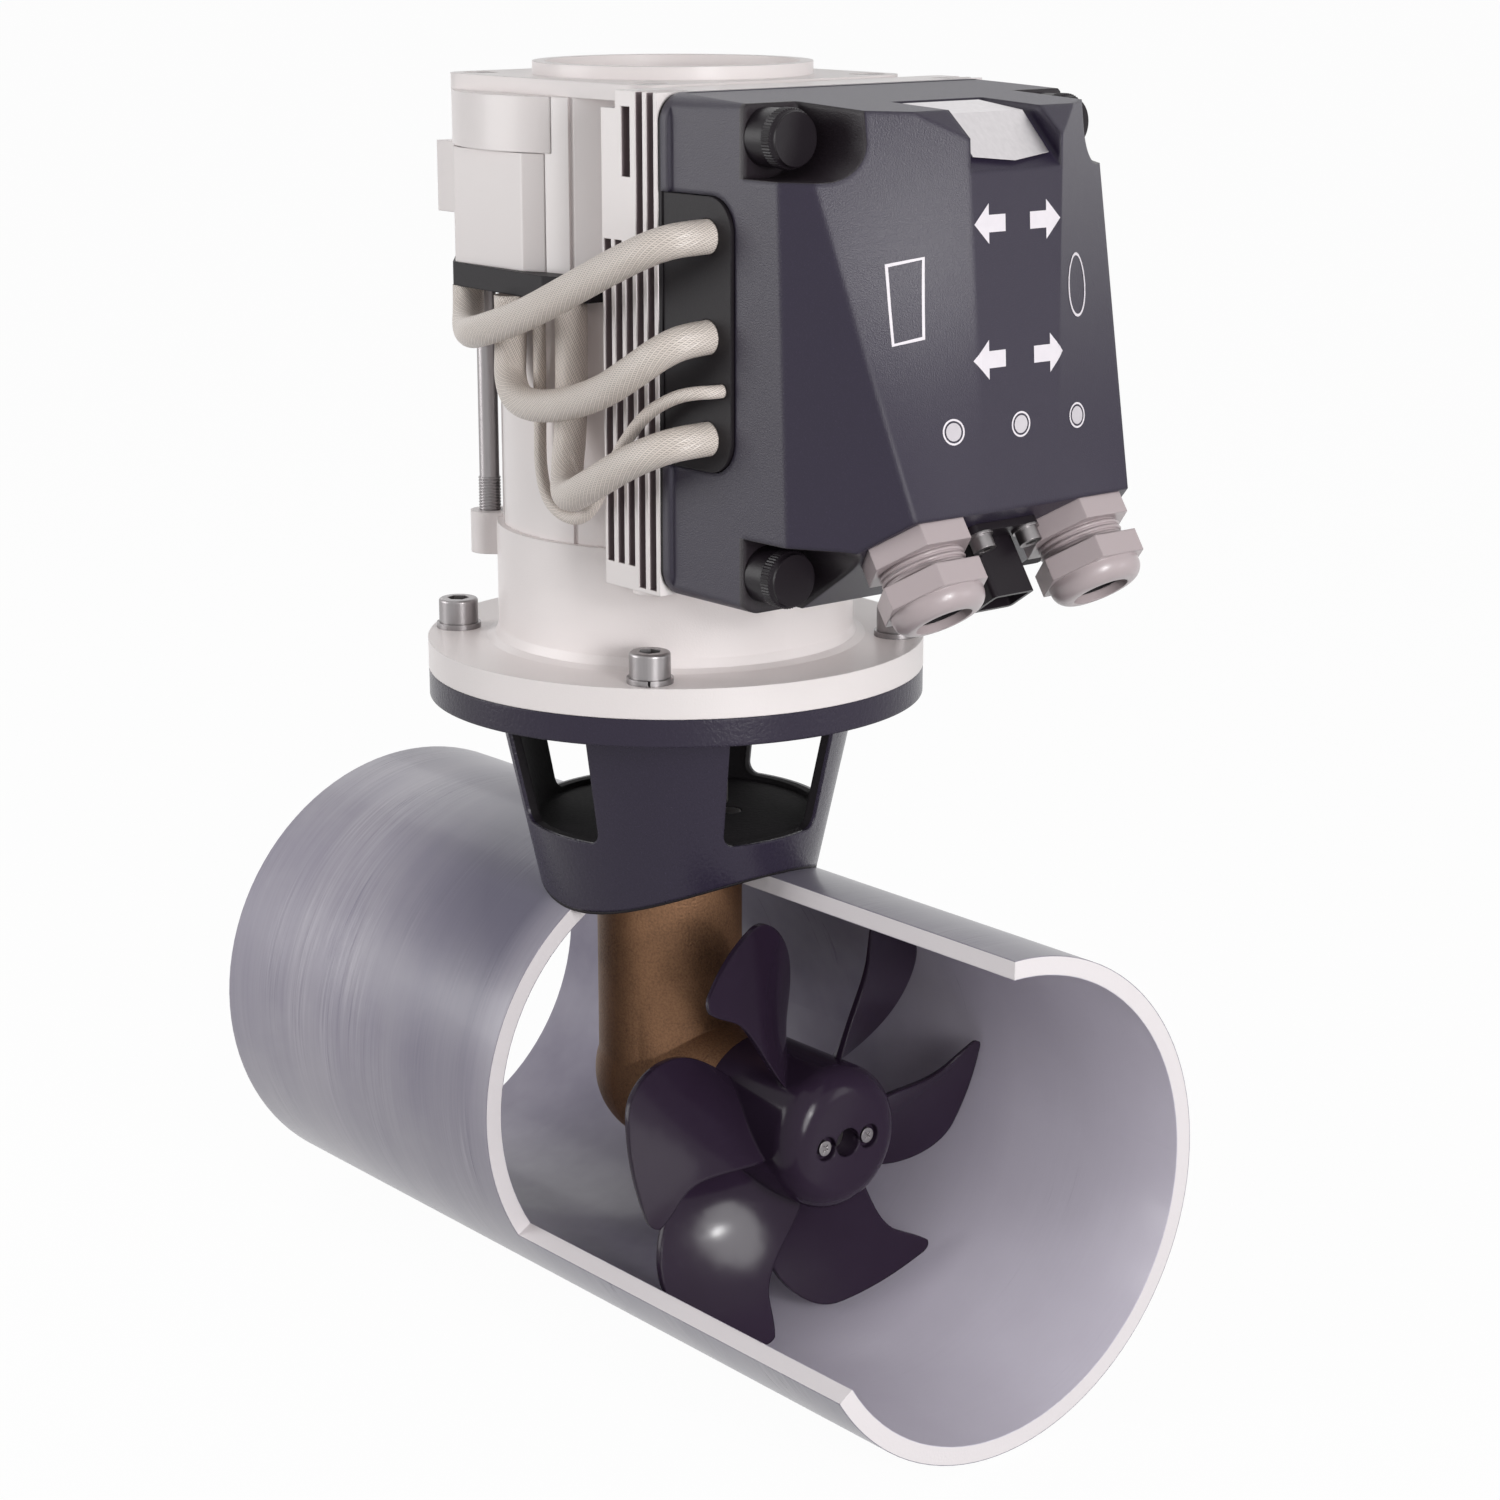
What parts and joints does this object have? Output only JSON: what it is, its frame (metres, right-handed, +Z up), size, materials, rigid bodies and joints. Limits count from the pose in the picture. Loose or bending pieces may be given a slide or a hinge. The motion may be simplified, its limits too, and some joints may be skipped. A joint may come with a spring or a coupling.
{
  "type": "tunnel thruster",
  "caption": "Electric tunnel thruster: propeller in a cut-away tunnel, right-angle gear leg, flange bell, upright motor and bolt-on controller joined by leads",
  "frame": {"origin": "where the tunnel's axis crosses the drive line's axis", "axes": "+X along the tunnel towards the propeller side, +Z up along the drive line to the motor, -Y the side where the tunnel is cut away"},
  "size_m": [0.4128, 0.2061, 0.5194],
  "materials": {
    "frp_violet": "filament-wound glass fibre tunnel in grey-violet gelcoat",
    "bronze": "sand-cast bronze",
    "navy_paint": "navy powder coat with fine orange peel",
    "white_paint": "white powder coat",
    "navy_plastic": "moulded navy plastic",
    "prop_plastic": "polished dark glass-filled plastic",
    "black_rubber": "black rubber",
    "steel": "plain and stainless steel",
    "grey_plastic": "light grey nylon",
    "copper": "copper",
    "badge_metal": "satin aluminium foil",
    "sleeve": "braided grey-beige sleeve",
    "board": "green laminate",
    "spider": "red polyurethane"
  },
  "bodies": {
    "thruster": {"tunnel": "frp_violet", "saddle_gasket": "black_rubber", "intermediate_flange": "navy_paint", "leg_gasket": "black_rubber", "gear_leg": "bronze", "seal_carrier": "bronze", "leg_screws": "steel", "bearing_outer_rings": "steel", "bearing_spacer": "steel", "shaft_seals": "black_rubber", "motor_base": "white_paint", "flange_bolts": "steel", "spring_washers": "steel", "stator_tube": "white_paint", "stator_core": "steel", "stator_windings": "copper", "motor_cap": "white_paint", "tie_rods": "steel", "terminal_cover": "white_paint", "terminal_band": "black_rubber", "power_lead_1": "sleeve", "power_lead_2": "sleeve", "power_lead_3": "sleeve", "signal_lead": "sleeve", "heat_sink": "white_paint", "cover_gasket": "black_rubber", "control_board": "board", "capacitors": "grey_plastic", "busbars": "copper", "cable_grommet": "black_rubber"},
    "drive_line": {"drive_shaft": "steel", "drive_pinion": "steel", "coupling_lower_hub": "steel", "coupling_spider": "spider", "coupling_upper_hub": "steel", "motor_shaft": "steel", "rotor_core": "steel", "rotor_magnets": "steel", "drive_bearing_inner_rings": "steel"},
    "propeller_set": {"propeller": "prop_plastic", "propeller_hub": "bronze", "propeller_shaft": "steel", "bevel_gear": "steel", "drive_pin": "steel", "propeller_screws": "steel", "propeller_bearing_inner_rings": "steel"},
    "cover": {"controller_cover": "navy_plastic", "badge_plate": "badge_metal", "gland_bodies": "grey_plastic", "gland_seals": "black_rubber", "connector_socket": "navy_plastic", "connector_screws": "steel"},
    "upper_near_knob": {"knob_upper_near": "navy_plastic"},
    "lower_near_knob": {"knob_lower_near": "navy_plastic"},
    "upper_far_knob": {"knob_upper_far": "navy_plastic"},
    "lower_far_knob": {"knob_lower_far": "navy_plastic"},
    "near_gland_nut": {"gland_nut_near": "grey_plastic"},
    "far_gland_nut": {"gland_nut_far": "grey_plastic"}
  },
  "joints": [
    {"name": "drive_spin", "type": "hinge", "parent": "thruster", "child": "drive_line", "pos_m": [0, 0, 0.2], "axis": [0, 0, 1], "continuous": true},
    {"name": "propeller_spin", "type": "hinge", "parent": "thruster", "child": "propeller_set", "pos_m": [0, 0, 0], "axis": [1, 0, 0], "continuous": true},
    {"name": "cover_lift", "type": "slide", "parent": "thruster", "child": "cover", "axis": [1, 0, 0], "range_m": [0, 0.12]},
    {"name": "upper_near_knob_spin", "type": "hinge", "parent": "cover", "child": "upper_near_knob", "pos_m": [0.14, -0.067, 0.4], "axis": [1, 0, 0], "continuous": true},
    {"name": "lower_near_knob_spin", "type": "hinge", "parent": "cover", "child": "lower_near_knob", "pos_m": [0.14, -0.067, 0.245], "axis": [1, 0, 0], "continuous": true},
    {"name": "upper_far_knob_spin", "type": "hinge", "parent": "cover", "child": "upper_far_knob", "pos_m": [0.14, 0.067, 0.4], "axis": [1, 0, 0], "continuous": true},
    {"name": "lower_far_knob_spin", "type": "hinge", "parent": "cover", "child": "lower_far_knob", "pos_m": [0.14, 0.067, 0.245], "axis": [1, 0, 0], "continuous": true},
    {"name": "near_gland_nut_spin", "type": "hinge", "parent": "cover", "child": "near_gland_nut", "pos_m": [0.1834, -0.0394, 0.2602], "axis": [0.558, 0, -0.8298], "continuous": true},
    {"name": "far_gland_nut_spin", "type": "hinge", "parent": "cover", "child": "far_gland_nut", "pos_m": [0.1834, 0.0394, 0.2602], "axis": [0.558, 0, -0.8298], "continuous": true}
  ],
  "couplings": [
    {"joint": "propeller_spin", "follows": "drive_spin", "ratio": 0.61905}
  ]
}
